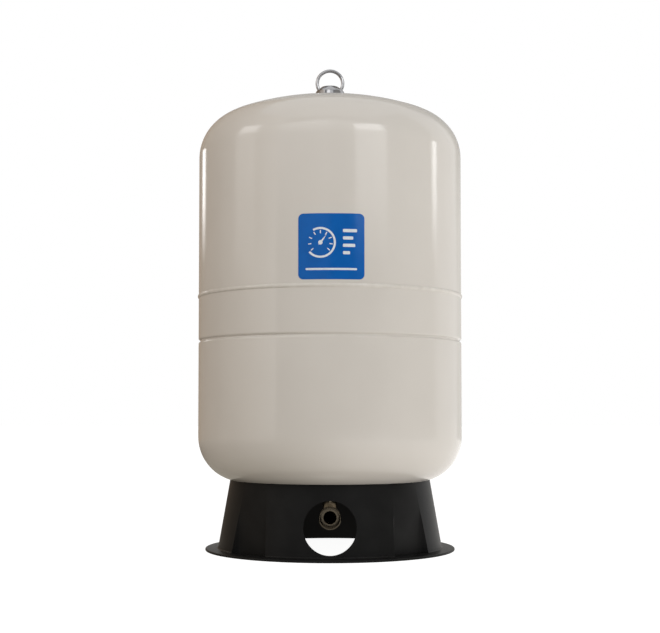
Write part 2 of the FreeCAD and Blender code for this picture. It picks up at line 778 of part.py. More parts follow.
def lifting_ring():
    """Round wire bent to an open ring across the tank, its two ends welded on the cap's shoulder."""
    wire = doc.addObject("Part::Torus", "ring_wire")
    tie(wire, Radius1="ring_radius", Radius2="ring_wire_radius")
    tie(wire, Angle3="(180 + 2 * ring_end_angle) * 1 deg")
    upright = FreeCAD.Rotation(Vector(1, 0, 0), 90)
    wire.Placement.Rotation = upright * FreeCAD.Rotation(Vector(0, 0, 1), -value("ring_end_angle"))
    tie(wire, Placement__Base__z=f"{APEX} + ring_centre_rise")
    doc.recompute()
    ring = doc.addObject("Part::Cut", "lifting_ring")
    ring.Label = "lifting_ring"
    ring.Base = wire
    ring.Tool = cap_outside()


def cap_outside():
    """The cap's outer form without its hollow, which trims the ring's ends to its shoulder."""
    form = new_body("cap_outside")
    top = f"({APEX} + cap_height)"
    revolve(form, "cap_form", [
        ("0", APEX),
        ("cap_foot_radius", APEX),
        ("cap_shoulder_radius", f"{top} - cap_shoulder_drop"),
        ("cap_top_radius", top),
        ("0", top),
    ])
    return form


def label():
    """Thin square label with round corners, wrapped round the front of the upper shell."""
    blank = new_body("label_blank")
    plan = new_sketch(blank, "label_plan", "XZ_Plane")
    left = "label_offset - label_width / 2"
    right = "label_offset + label_width / 2"
    low = f"{GIRTH} + label_above_girth - label_height / 2"
    high = f"{GIRTH} + label_above_girth + label_height / 2"
    turn = "label_corner"
    draw_outline(plan, [
        (f"{left} + {turn}", low),
        (f"{right} - {turn}", low, turn, 1),
        (right, f"{low} + {turn}"),
        (right, f"{high} - {turn}", turn, 1),
        (f"{right} - {turn}", high),
        (f"{left} + {turn}", high, turn, 1),
        (left, f"{high} - {turn}"),
        (left, f"{low} + {turn}", turn, 1),
    ])
    extrude(blank, "label_pad", plan, "shell_radius + label_glue + 2 * label_thickness")
    back = "shell_radius + label_glue"
    face = "shell_radius + label_glue + label_thickness"
    sleeve = turned_ring("label_sleeve", back, face, f"{low} - {turn}", f"{high} + {turn}")
    sticker = doc.addObject("Part::Common", "label")
    sticker.Label = "label"
    sticker.Base = blank
    sticker.Tool = sleeve


NODES = (
    "upper_shell", "lower_shell", "girth_weld", "clench_ring", "water_liner", "diaphragm",
    "stand", "water_elbow", "threaded_socket", "inlet_weld", "inlet_gasket", "inlet_washer",
    "inlet_nut", "valve_boss", "valve_stem", "core_barrel", "core_seal", "core_pin", "pin_seal",
    "core_spring", "ring_cap", "lifting_ring", "label",
)

for build in (upper_shell, lower_shell, girth_weld, clench_ring, water_liner, diaphragm, stand,
              water_elbow, threaded_socket, inlet_weld, inlet_stack, valve_boss, valve_stem,
              valve_core, ring_cap, lifting_ring, label):
    build()
doc.recompute()

for item in doc.Objects:
    if "Invalid" in item.State or "Error" in item.State:
        raise RuntimeError(f"{item.Name} failed: {item.State}")

pieces = {name: doc.getObjectsByLabel(name)[0] for name in NODES}
for name, piece in pieces.items():
    if piece.Shape.isNull() or not piece.Shape.isValid() or piece.Shape.Volume <= 0:
        raise RuntimeError(f"{name} has no sound shape")
    print(f"{name}: {len(piece.Shape.Solids)} solid, {piece.Shape.Volume / 1000:.3f} cm3")

os.makedirs("parts", exist_ok=True)
for name, piece in pieces.items():
    piece.Shape.exportStep(f"parts/{name}.step")
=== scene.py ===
"""Looks of the well pressure tank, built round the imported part.

Metres. +Z is up, -Y is the front and the tank's axis is the Z axis.
"""

import math

import bpy
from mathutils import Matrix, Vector


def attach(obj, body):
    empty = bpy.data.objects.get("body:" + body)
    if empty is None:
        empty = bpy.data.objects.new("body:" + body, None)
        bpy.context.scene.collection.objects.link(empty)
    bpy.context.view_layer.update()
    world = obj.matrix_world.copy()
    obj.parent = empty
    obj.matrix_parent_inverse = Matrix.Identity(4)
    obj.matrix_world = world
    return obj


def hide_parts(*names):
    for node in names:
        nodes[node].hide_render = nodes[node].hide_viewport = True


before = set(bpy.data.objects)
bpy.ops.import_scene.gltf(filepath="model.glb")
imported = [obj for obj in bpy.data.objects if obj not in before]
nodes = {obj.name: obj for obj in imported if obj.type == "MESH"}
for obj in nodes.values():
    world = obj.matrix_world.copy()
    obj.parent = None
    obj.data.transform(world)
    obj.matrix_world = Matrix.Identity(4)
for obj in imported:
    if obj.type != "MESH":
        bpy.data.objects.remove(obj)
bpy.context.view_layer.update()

MM = 0.001
FULL_TURN = 2 * math.pi
QUARTER_TURN = math.pi / 2

# Driving dimensions of the tank, the same as the part's
SHELL_RADIUS = 225.0 * MM
SHELL_WALL = 2.0 * MM
HALF_STRAIGHT = 238.0 * MM
CROWN_RADIUS = 494.0 * MM
KNUCKLE_RADIUS = 76.5 * MM
STAND_HEIGHT = 118.8 * MM
RIM_RADIUS = 170.4 * MM
SPIGOT_HOLE = 9.1 * MM
TUBE_HOLE = 13.0 * MM

# Heights that follow from them
CROWN_DROP = math.sqrt((CROWN_RADIUS - KNUCKLE_RADIUS) ** 2 - (SHELL_RADIUS - KNUCKLE_RADIUS) ** 2)
BOTTOM_LINE = STAND_HEIGHT + math.sqrt(CROWN_RADIUS ** 2 - RIM_RADIUS ** 2) - CROWN_DROP
GIRTH = BOTTOM_LINE + HALF_STRAIGHT
TOP_LINE = GIRTH + HALF_STRAIGHT
APEX = TOP_LINE + CROWN_RADIUS - CROWN_DROP
NADIR = BOTTOM_LINE - CROWN_RADIUS + CROWN_DROP
HEAD_JOIN = math.atan2(CROWN_DROP, SHELL_RADIUS - KNUCKLE_RADIUS)

TURNING_STEPS = 256
SMOOTH_ANGLE = math.radians(32)
MERGE_DISTANCE = 0.002 * MM


# Modelling

def arc(centre_x, centre_z, radius, start, end, steps):
    """Points of an arc in a plane, from the start angle to the end angle."""
    turns = [start + (end - start) * step / steps for step in range(steps + 1)]
    return [(centre_x + radius * math.cos(turn), centre_z + radius * math.sin(turn)) for turn in turns]


def draw_wire(name, points):
    """Begins a piece as a small plane merged to one vertex, and extrudes that from point to point."""
    bpy.ops.object.select_all(action="DESELECT")
    bpy.ops.mesh.primitive_plane_add(size=MM, location=points[0])
    piece = bpy.context.object
    piece.name = piece.data.name = name
    bpy.ops.object.transform_apply()
    bpy.ops.object.mode_set(mode="EDIT")
    bpy.ops.mesh.select_mode(type="VERT")
    bpy.ops.mesh.select_all(action="SELECT")
    bpy.ops.mesh.merge(type="CENTER")
    for here, there in zip(points, points[1:]):
        step = Vector(there) - Vector(here)
        bpy.ops.mesh.extrude_vertices_move(TRANSFORM_OT_translate={"value": step})
    bpy.ops.mesh.select_all(action="SELECT")
    return piece


def finish_piece(piece, smooth=SMOOTH_ANGLE):
    """Merges doubles, drops loose edges, turns the faces outwards and smooths the curved ones."""
    bpy.ops.mesh.select_all(action="SELECT")
    bpy.ops.mesh.remove_doubles(threshold=MERGE_DISTANCE)
    bpy.ops.mesh.delete_loose()
    bpy.ops.mesh.select_all(action="SELECT")
    bpy.ops.mesh.normals_make_consistent(inside=False)
    bpy.ops.object.mode_set(mode="OBJECT")
    bpy.ops.object.shade_smooth_by_angle(angle=smooth)
    return piece


def turn_profile(name, corners, steps=TURNING_STEPS):
    """A turned piece: its closed profile is drawn and spun round the tank's axis."""
    piece = draw_wire(name, [(x, 0, z) for x, z in corners + corners[:1]])
    bpy.ops.mesh.spin(steps=steps, angle=FULL_TURN, center=(0, 0, 0), axis=(0, 0, 1))
    return finish_piece(piece)


def raise_block(name, outline, low, high):
    """A prism: its outline in plan is drawn, filled and extruded upwards."""
    piece = draw_wire(name, [(x, y, low) for x, y in outline + outline[:1]])
    bpy.ops.mesh.remove_doubles(threshold=MERGE_DISTANCE)
    bpy.ops.mesh.edge_face_add()
    bpy.ops.mesh.extrude_region_move(TRANSFORM_OT_translate={"value": (0, 0, high - low)})
    return finish_piece(piece)


def pick(piece):
    """Makes one object the only selected and active one."""
    bpy.ops.object.select_all(action="DESELECT")
    piece.select_set(True)
    bpy.context.view_layer.objects.active = piece


def place(piece, move=(0, 0, 0), turn=(0, 0, 0)):
    """Turns and moves a piece, and applies both to its mesh."""
    pick(piece)
    piece.rotation_euler = turn
    piece.location = move
    bpy.ops.object.transform_apply()


def cut(piece, cutter, copies=1):
    """Cuts a piece by a cutter, at as many places round the tank's axis as there are copies."""
    for _ in range(copies):
        pick(piece)
        bpy.ops.object.modifier_add(type="BOOLEAN")
        modifier = piece.modifiers[-1]
        modifier.operation = "DIFFERENCE"
        modifier.solver = "EXACT"
        modifier.object = cutter
        bpy.ops.object.modifier_apply(modifier=modifier.name)
        place(cutter, turn=(0, 0, FULL_TURN / copies))
    bpy.data.objects.remove(cutter)


def bevel_edges(piece, chosen, width, segments):
    """Rounds the edges whose two ends are both at a chosen place."""
    pick(piece)
    bpy.ops.object.mode_set(mode="EDIT")
    bpy.ops.mesh.select_all(action="DESELECT")
    bpy.ops.mesh.select_mode(type="EDGE")
    bpy.ops.object.mode_set(mode="OBJECT")
    places = [vertex.co for vertex in piece.data.vertices]
    for edge in piece.data.edges:
        edge.select = all(chosen(places[end]) for end in edge.vertices)
    bpy.ops.object.mode_set(mode="EDIT")
    bpy.ops.mesh.bevel(offset=width, segments=segments, affect="EDGES", clamp_overlap=False)
    finish_piece(piece)


def join_pieces(name, pieces):
    """One mesh from several."""
    pick(pieces[0])
    for piece in pieces[1:]:
        piece.select_set(True)
    bpy.ops.object.join()
    pieces[0].name = pieces[0].data.name = name
    return pieces[0]


def stand_for(piece, node, body):
    """The piece takes the CAD node's place and rides its body."""
    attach(piece, body)
    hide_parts(node)


# Pressed steel shells

KNUCKLE_STEPS = 18
CROWN_STEPS = 12
KNUCKLE_CENTRE = SHELL_RADIUS - KNUCKLE_RADIUS
TOP_CROWN_CENTRE = TOP_LINE - CROWN_DROP
BOTTOM_CROWN_CENTRE = BOTTOM_LINE + CROWN_DROP
WELD_GAP = 1.5 * MM


def head(inset, line, crown_centre, hole, way):
    """A pressed head from its straight edge to the hole in its crown; way is 1 for up and -1 for down."""
    radius = CROWN_RADIUS - inset
    hole_turn = math.acos(hole / radius)
    knuckle = arc(KNUCKLE_CENTRE, line, KNUCKLE_RADIUS - inset, 0, way * HEAD_JOIN, KNUCKLE_STEPS)
    return knuckle + arc(0, crown_centre, radius, way * HEAD_JOIN, way * hole_turn, CROWN_STEPS)[1:]


upper_edge = GIRTH + WELD_GAP / 2
upper_outside = [(SHELL_RADIUS, upper_edge)] + head(0, TOP_LINE, TOP_CROWN_CENTRE, SPIGOT_HOLE, 1)
upper_inside = head(SHELL_WALL, TOP_LINE, TOP_CROWN_CENTRE, SPIGOT_HOLE, 1)[::-1]
upper_inside.append((SHELL_RADIUS - SHELL_WALL, upper_edge))
upper_shell = turn_profile("upper_shell_pressing", upper_outside + upper_inside)
stand_for(upper_shell, "upper_shell", "tank")

GROOVE = GIRTH - 76.3 * MM
GROOVE_DEPTH = 2.9 * MM
GROOVE_HALF_WIDTH = 4.7 * MM
GROOVE_ROOT = 2.0 * MM
LIP_STEPS = 6
ROOT_STEPS = 10
groove_reach = (GROOVE_DEPTH ** 2 + GROOVE_HALF_WIDTH ** 2) / (2 * GROOVE_DEPTH)
groove_lip = groove_reach - GROOVE_ROOT
groove_turn = math.asin(GROOVE_HALF_WIDTH / groove_reach)


def groove(inset):
    """The rolled groove from its bottom lip to its top lip, at an inset from the outside."""
    lip_x = SHELL_RADIUS - groove_lip
    root_x = SHELL_RADIUS - GROOVE_DEPTH + GROOVE_ROOT
    root_radius = GROOVE_ROOT + inset
    low = arc(lip_x, GROOVE - GROOVE_HALF_WIDTH, groove_lip - inset, 0, groove_turn, LIP_STEPS)
    root = arc(root_x, GROOVE, root_radius, math.pi + groove_turn, math.pi - groove_turn, ROOT_STEPS)
    high = arc(lip_x, GROOVE + GROOVE_HALF_WIDTH, groove_lip - inset, -groove_turn, 0, LIP_STEPS)
    return low + root[1:] + high[1:]


lower_edge = GIRTH - WELD_GAP / 2
lower_outside = head(0, BOTTOM_LINE, BOTTOM_CROWN_CENTRE, TUBE_HOLE, -1)[::-1] + groove(0)
lower_outside.append((SHELL_RADIUS, lower_edge))
lower_inside = [(SHELL_RADIUS - SHELL_WALL, lower_edge)] + groove(SHELL_WALL)[::-1]
lower_inside += head(SHELL_WALL, BOTTOM_LINE, BOTTOM_CROWN_CENTRE, TUBE_HOLE, -1)
lower_shell = turn_profile("lower_shell_pressing", lower_outside + lower_inside)
stand_for(lower_shell, "lower_shell", "tank")

WELD_WIDTH = 6.8 * MM
WELD_HEIGHT = 1.65 * MM
WELD_STEPS = 10
bead_radius = (WELD_WIDTH ** 2 / 4 + WELD_HEIGHT ** 2) / (2 * WELD_HEIGHT)
bead_turn = math.asin(WELD_WIDTH / 2 / bead_radius)
bead_centre = SHELL_RADIUS + WELD_HEIGHT - bead_radius
bead = arc(bead_centre, GIRTH, bead_radius, -bead_turn, bead_turn, WELD_STEPS)
weld_root = [
    (SHELL_RADIUS, upper_edge),
    (SHELL_RADIUS - SHELL_WALL, upper_edge),
    (SHELL_RADIUS - SHELL_WALL, lower_edge),
    (SHELL_RADIUS, lower_edge),
]
girth_weld = turn_profile("girth_weld_bead", bead + weld_root)
stand_for(girth_weld, "girth_weld", "tank")

# Moulded stand

STAND_WALL = 3.0 * MM
FOOT_RADIUS = 191.2 * MM
FLANGE_RADIUS = 212.2 * MM
FLANGE_THICKNESS = 4.0 * MM
FLANGE_EDGE = 1.8 * MM
FOOT_FILLET = 3.0 * MM
SEAT_CLEARANCE = 0.1 * MM
RECESS_FLOOR = 175.5 * MM
RECESS_HALF_WIDTH = 33.0 * MM
RECESS_SPLAY = math.radians(36)
RECESS_CORNER = 8.0 * MM
FRONT_HOLE_RADIUS = 42.25 * MM
FRONT_HOLE_HEIGHT = 51.1 * MM
BOLT_CIRCLE = 194.3 * MM
BOLT_HOLE_RADIUS = 4.5 * MM
BOLT_CORNERS = 4
DIAGONAL = math.radians(45)
SPACE_BEYOND = 3 * STAND_WALL
SPACE_ABOVE = 8 * STAND_WALL
ARC_STEPS = 6
SEAT_STEPS = 8
FRONT_HOLE_STEPS = 96
BOLT_HOLE_STEPS = 36
HALF_STEP = FULL_TURN / TURNING_STEPS / 2


def stand_outside():
    """Solid cone on its flange, with the flange's round edge and the fillet at the cone's foot."""
    fillet_top = FLANGE_THICKNESS + FOOT_FILLET
    foot = FOOT_RADIUS + (RIM_RADIUS - FOOT_RADIUS) * fillet_top / STAND_HEIGHT
    edge = FLANGE_RADIUS - FLANGE_EDGE
    profile = [(0, 0)] + arc(edge, FLANGE_EDGE, FLANGE_EDGE, -QUARTER_TURN, 0, ARC_STEPS)
    profile += arc(edge, FLANGE_THICKNESS - FLANGE_EDGE, FLANGE_EDGE, 0, QUARTER_TURN, ARC_STEPS)
    profile += arc(foot + FOOT_FILLET, fillet_top, FOOT_FILLET, -QUARTER_TURN, -math.pi, ARC_STEPS)
    profile += [(RIM_RADIUS, STAND_HEIGHT), (0, STAND_HEIGHT)]
    stand = turn_profile("stand_moulding", profile)
    place(stand, turn=(0, 0, HALF_STEP))
    return stand


def stand_space():
    """The open inside of the stand, topped by the seat that follows the tank's bottom head."""
    seat_radius = CROWN_RADIUS + SEAT_CLEARANCE
    inner_rim = RIM_RADIUS - STAND_WALL
    beyond = RIM_RADIUS + SPACE_BEYOND
    seat_start = -math.acos(inner_rim / seat_radius)
    seat_end = -math.acos(beyond / seat_radius)
    above = STAND_HEIGHT + SPACE_ABOVE
    below = -STAND_WALL
    profile = [(0, below), (FOOT_RADIUS - STAND_WALL, below), (FOOT_RADIUS - STAND_WALL, 0)]
    profile += arc(0, BOTTOM_CROWN_CENTRE, seat_radius, seat_start, seat_end, SEAT_STEPS)
    profile += [(beyond, above), (0, above)]
    space = turn_profile("stand_space", profile)
    place(space, turn=(0, 0, HALF_STEP))
    return space


def recess_block(name, wall, low, high):
    """Prism of one bolt recess: a flat floor across the diagonal, round corners and splayed sides."""
    floor = RECESS_FLOOR - wall
    far = FLANGE_RADIUS + STAND_WALL
    radius = RECESS_CORNER + wall
    half = RECESS_HALF_WIDTH + wall * (1 - math.sin(RECESS_SPLAY)) / math.cos(RECESS_SPLAY)
    run = radius / math.tan(DIAGONAL + RECESS_SPLAY / 2)
    wide = half + (far - floor) * math.tan(RECESS_SPLAY)
    corner = arc(floor + radius, half - run, radius, math.pi, QUARTER_TURN + RECESS_SPLAY, ARC_STEPS)
    outline = corner + [(far, wide), (far, -wide)] + [(x, -y) for x, y in corner[::-1]]
    block = raise_block(name, outline, low, high)
    place(block, turn=(0, 0, DIAGONAL))
    return block


def make_stand():
    """One moulding: cone and flange, less its recesses, the space inside and its holes."""
    stand = stand_outside()
    top = 2 * STAND_HEIGHT
    cut(stand, recess_block("bolt_recess", 0, FLANGE_THICKNESS, top), BOLT_CORNERS)
    space = stand_space()
    cut(space, recess_block("recess_back", STAND_WALL, -STAND_HEIGHT, top), BOLT_CORNERS)
    cut(stand, space)
    bpy.ops.mesh.primitive_cylinder_add(
        vertices=FRONT_HOLE_STEPS, radius=FRONT_HOLE_RADIUS, depth=FOOT_RADIUS,
        location=(0, -FOOT_RADIUS, FRONT_HOLE_HEIGHT), rotation=(QUARTER_TURN, 0, 0))
    cut(stand, bpy.context.object)
    across = BOLT_CIRCLE * math.cos(DIAGONAL)
    bpy.ops.mesh.primitive_cylinder_add(
        vertices=BOLT_HOLE_STEPS, radius=BOLT_HOLE_RADIUS, depth=4 * FLANGE_THICKNESS,
        location=(across, across, 0))
    bolt = bpy.context.object
    place(bolt, move=bolt.location.copy())
    cut(stand, bolt, BOLT_CORNERS)
    return stand


stand = make_stand()
pick(stand)
bpy.ops.object.mode_set(mode="EDIT")
finish_piece(stand)
stand_for(stand, "stand", "tank")

# Water connection

TUBE_RADIUS = 12.7 * MM
TUBE_WALL = 1.5 * MM
TUBE_BEND = 26.0 * MM
TUBE_TOP = NADIR + 20.0 * MM
BEND_TOP = NADIR - 6.48 * MM
SOCKET_HEIGHT = BEND_TOP - TUBE_BEND
SOCKET_REACH = 56.0 * MM
SOCKET_LENGTH = 28.0 * MM
SOCKET_RADIUS = 18.9 * MM
SOCKET_CHAMFER = 1.2 * MM
SOCKET_BACK = 21.0 * MM
THREAD_CREST = 15.15 * MM
THREAD_ROOT = 16.6 * MM
THREAD_MOUTH = 17.1 * MM
THREAD_SINK = 0.15 * MM
THREAD_PITCH = 2.309 * MM
THREAD_START = 0.6 * MM
THREAD_DEPTH = 19.0 * MM
THREAD_TURNS = 7
# Where a tooth begins, reaches its crest, leaves it and ends, as shares of the pitch
TOOTH_SHARES = (0, 0.42, 0.56, 0.98)
TUBE_STEPS = 64
BEND_STEPS = 20


def make_elbow():
    """A ring is extruded down, spun through the bend, extruded to the socket and given its wall."""
    bpy.ops.object.select_all(action="DESELECT")
    bpy.ops.mesh.primitive_circle_add(vertices=TUBE_STEPS, radius=TUBE_RADIUS, location=(0, 0, TUBE_TOP))
    elbow = bpy.context.object
    elbow.name = elbow.data.name = "water_elbow_tube"
    bpy.ops.object.transform_apply()
    bpy.ops.object.mode_set(mode="EDIT")
    bpy.ops.mesh.select_all(action="SELECT")
    bpy.ops.mesh.extrude_edges_move(TRANSFORM_OT_translate={"value": (0, 0, BEND_TOP - TUBE_TOP)})
    bend_centre = (0, -TUBE_BEND, BEND_TOP)
    bpy.ops.mesh.spin(steps=BEND_STEPS, angle=QUARTER_TURN, center=bend_centre, axis=(1, 0, 0))
    tube_end = SOCKET_REACH - SOCKET_BACK - TUBE_BEND
    bpy.ops.mesh.extrude_edges_move(TRANSFORM_OT_translate={"value": (0, -tube_end, 0)})
    finish_piece(elbow)
    bpy.ops.object.modifier_add(type="SOLIDIFY")
    wall = elbow.modifiers[-1]
    wall.thickness = TUBE_WALL
    wall.offset = -1
    bpy.ops.object.modifier_apply(modifier=wall.name)
    return elbow


def make_thread():
    """The socket's thread: one tooth's closed profile, sunk into the wall and coiled with the Screw."""
    root = THREAD_ROOT + THREAD_SINK
    begin, rise, fall, end = [THREAD_START + share * THREAD_PITCH for share in TOOTH_SHARES]
    tooth = [(root, begin), (THREAD_CREST, rise), (THREAD_CREST, fall), (root, end)]
    thread = draw_wire("socket_thread", [(x, 0, z) for x, z in tooth + tooth[:1]])
    bpy.ops.mesh.remove_doubles(threshold=MERGE_DISTANCE)
    bpy.ops.object.mode_set(mode="OBJECT")
    bpy.ops.object.modifier_add(type="SCREW")
    screw = thread.modifiers[-1]
    screw.screw_offset = THREAD_PITCH
    screw.iterations = THREAD_TURNS
    screw.steps = screw.render_steps = TUBE_STEPS
    bpy.ops.object.modifier_apply(modifier=screw.name)
    bpy.ops.object.mode_set(mode="EDIT")
    bpy.ops.mesh.select_all(action="SELECT")
    bpy.ops.mesh.fill_holes(sides=len(tooth))
    return finish_piece(thread)


def make_socket():
    """Turned socket with its chamfers, bored to the thread's roots, laid on its side behind the hole."""
    socket = turn_profile("threaded_socket_turning", [
        (THREAD_MOUTH, 0),
        (SOCKET_RADIUS - SOCKET_CHAMFER, 0),
        (SOCKET_RADIUS, SOCKET_CHAMFER),
        (SOCKET_RADIUS, SOCKET_BACK),
        (TUBE_RADIUS + TUBE_WALL, SOCKET_LENGTH),
        (TUBE_RADIUS, SOCKET_LENGTH),
        (TUBE_RADIUS, SOCKET_BACK),
        (TUBE_RADIUS - TUBE_WALL, SOCKET_BACK),
        (TUBE_RADIUS - TUBE_WALL, THREAD_DEPTH),
        (THREAD_ROOT, THREAD_DEPTH),
        (THREAD_ROOT, THREAD_MOUTH - THREAD_ROOT),
    ], steps=TUBE_STEPS)
    socket = join_pieces("threaded_socket_turning", [socket, make_thread()])
    place(socket, move=(0, -SOCKET_REACH, SOCKET_HEIGHT), turn=(-QUARTER_TURN, 0, 0))
    return socket


water_elbow = make_elbow()
stand_for(water_elbow, "water_elbow", "tank")
threaded_socket = make_socket()
stand_for(threaded_socket, "threaded_socket", "tank")

# Ringed cap

CAP_BASE = APEX + 0.3 * MM
CAP_TOP = APEX + 24.4 * MM
CAP_SHOULDER = CAP_TOP - 8.0 * MM
CAP_SEAT = APEX + 9.0 * MM
CAP_ROOF = CAP_TOP - 3.2 * MM
CAP_TOP_RADIUS = 15.0 * MM
CAP_SHOULDER_RADIUS = 24.4 * MM
CAP_FOOT_RADIUS = 28.0 * MM
CAP_THREAD_RADIUS = 21.8 * MM
CAP_INNER_RADIUS = 9.0 * MM
CAP_EDGE = 1.6 * MM
CAP_TOP_EDGE = 0.8 * MM
CAP_EDGE_STEPS = 5
CAP_STEPS = 128
RING_RADIUS = 22.1 * MM
RING_WIRE = 2.9 * MM
RING_CENTRE = APEX + 31.3 * MM
RING_END_TURN = math.radians(40)
RING_END_DROP = RING_RADIUS * math.sin(RING_END_TURN)
RING_STEPS = 144
WIRE_STEPS = 32


def at_ring(radius, height):
    """Tells whether a place lies on one ring round the tank's axis."""
    return lambda spot: abs(math.hypot(spot.x, spot.y) - radius) + abs(spot.z - height) < 0.02 * MM


def make_cap():
    """Turned cap whose top and shoulder edges are rounded with a bevel."""
    cap = turn_profile("ring_cap_turning", [
        (CAP_THREAD_RADIUS, CAP_BASE),
        (CAP_FOOT_RADIUS, CAP_BASE),
        (CAP_SHOULDER_RADIUS, CAP_SHOULDER),
        (CAP_TOP_RADIUS, CAP_TOP),
        (0, CAP_TOP),
        (0, CAP_ROOF),
        (CAP_INNER_RADIUS, CAP_ROOF),
        (CAP_INNER_RADIUS, CAP_SEAT),
        (CAP_THREAD_RADIUS, CAP_SEAT),
    ], steps=CAP_STEPS)
    bevel_edges(cap, at_ring(CAP_SHOULDER_RADIUS, CAP_SHOULDER), CAP_EDGE, CAP_EDGE_STEPS)
    bevel_edges(cap, at_ring(CAP_TOP_RADIUS, CAP_TOP), CAP_TOP_EDGE, CAP_EDGE_STEPS)
    return cap


def make_ring():
    """Round wire bent to a ring, cut off level where its two ends sink into the cap."""
    bpy.ops.object.select_all(action="DESELECT")
    bpy.ops.mesh.primitive_torus_add(
        major_segments=RING_STEPS, minor_segments=WIRE_STEPS,
        major_radius=RING_RADIUS, minor_radius=RING_WIRE,
        location=(0, 0, RING_CENTRE), rotation=(QUARTER_TURN, 0, 0))
    ring = bpy.context.object
    ring.name = ring.data.name = "lifting_ring_wire"
    bpy.ops.object.transform_apply()
    bpy.ops.object.mode_set(mode="EDIT")
    bpy.ops.mesh.select_all(action="SELECT")
    bpy.ops.mesh.bisect(plane_co=(0, 0, RING_CENTRE - RING_END_DROP), plane_no=(0, 0, 1),
                        use_fill=True, clear_inner=True)
    return finish_piece(ring)


ring_cap = make_cap()
stand_for(ring_cap, "ring_cap", "cap")
lifting_ring = make_ring()
stand_for(lifting_ring, "lifting_ring", "cap")

# Front label and its plain print

LABEL_WIDTH = 103.0 * MM
LABEL_HEIGHT = 102.8 * MM
LABEL_CORNER = 8.0 * MM
CORNER_STEPS = 8
LABEL_THICKNESS = 0.2 * MM
LABEL_GLUE = 0.05 * MM
LABEL_X = 2.1 * MM
LABEL_Z = GIRTH + 60.1 * MM
LABEL_STRIP = 2.5 * MM
INK_THICKNESS = 0.04 * MM
DIAL_X = LABEL_X - 17.0 * MM
DIAL_Z = LABEL_Z + 6.0 * MM
DIAL_OUTER = 24.0 * MM
DIAL_INNER = 20.8 * MM
DIAL_SWEEP = math.radians(260)
DIAL_STEPS = 60
TICKS = 9
TICK_LENGTH = 5.0 * MM
TICK_WIDTH = 1.6 * MM
TICK_GAP = 1.6 * MM
NEEDLE_TURN = math.radians(38)
NEEDLE_LENGTH = 16.5 * MM
NEEDLE_TAIL = 5.0 * MM
NEEDLE_WIDTH = 3.4 * MM
HUB_RADIUS = 3.4 * MM
HUB_STEPS = 32
BAR_LEFT = LABEL_X + 18.0 * MM
BAR_LENGTHS = (22.0 * MM, 16.0 * MM, 19.0 * MM, 11.0 * MM)
BAR_HEIGHT = 5.0 * MM
BAR_PITCH = 11.5 * MM
TOP_BAR = LABEL_Z + 22.0 * MM
BAR_CORNER = 1.5 * MM
LINE_HALF_LENGTH = 40.0 * MM
LINE_HEIGHT = 3.2 * MM
LINE_BOTTOM = LABEL_Z - 37.0 * MM


def round_bar(low_x, high_x, low_z, high_z, corner):
    """Outline of a rectangle with round corners, as (x, z) points."""
    outline = []
    centres = [(high_x - corner, high_z - corner), (low_x + corner, high_z - corner),
               (low_x + corner, low_z + corner), (high_x - corner, low_z + corner)]
    for number, (x, z) in enumerate(centres):
        outline += arc(x, z, corner, number * QUARTER_TURN, (number + 1) * QUARTER_TURN, CORNER_STEPS)
    return outline


def lay_film(name, outline, back, thickness):
    """A flat film cut to its outline, scored into strips so that it can bend, and thickened."""
    film = draw_wire(name, [(x, -back, z) for x, z in outline + outline[:1]])
    bpy.ops.mesh.remove_doubles(threshold=MERGE_DISTANCE)
    bpy.ops.mesh.edge_face_add()
    low = min(x for x, z in outline)
    strips = round((max(x for x, z in outline) - low) / LABEL_STRIP)
    for strip in range(1, strips):
        bpy.ops.mesh.select_all(action="SELECT")
        bpy.ops.mesh.bisect(plane_co=(low + strip * LABEL_STRIP, 0, 0), plane_no=(1, 0, 0),
                            use_fill=False, clear_inner=False)
    bpy.ops.mesh.select_all(action="SELECT")
    bpy.ops.mesh.extrude_region_move(TRANSFORM_OT_translate={"value": (0, -thickness, 0)})
    return finish_piece(film)


def wrap_on_shell(piece):
    """Bends a flat film round the shell: each point keeps its x and z and takes the shell's y."""
    for vertex in piece.data.vertices:
        radius = SHELL_RADIUS + LABEL_GLUE - vertex.co.y
        vertex.co.y = -math.sqrt(radius ** 2 - vertex.co.x ** 2)


def turned_outline(outline, turn):
    """An outline turned clockwise about the dial's centre and moved there."""
    cos, sin = math.cos(turn), math.sin(turn)
    return [(DIAL_X + x * cos + z * sin, DIAL_Z - x * sin + z * cos) for x, z in outline]


def dial_ring():
    """The dial's open ring: one edge across it is spun through the sweep and thickened."""
    start = -DIAL_SWEEP / 2
    inner, outer = [(DIAL_X + reach * math.sin(start), -LABEL_THICKNESS, DIAL_Z + reach * math.cos(start))
                    for reach in (DIAL_INNER, DIAL_OUTER)]
    ring = draw_wire("dial_ring", [inner, outer])
    bpy.ops.mesh.spin(steps=DIAL_STEPS, angle=DIAL_SWEEP, center=(DIAL_X, 0, DIAL_Z), axis=(0, 1, 0))
    bpy.ops.mesh.select_all(action="SELECT")
    bpy.ops.mesh.extrude_region_move(TRANSFORM_OT_translate={"value": (0, -INK_THICKNESS, 0)})
    return finish_piece(ring)


def ink(outline):
    """One printed shape, lying on the label's film."""
    return lay_film("ink", outline, LABEL_THICKNESS, INK_THICKNESS)


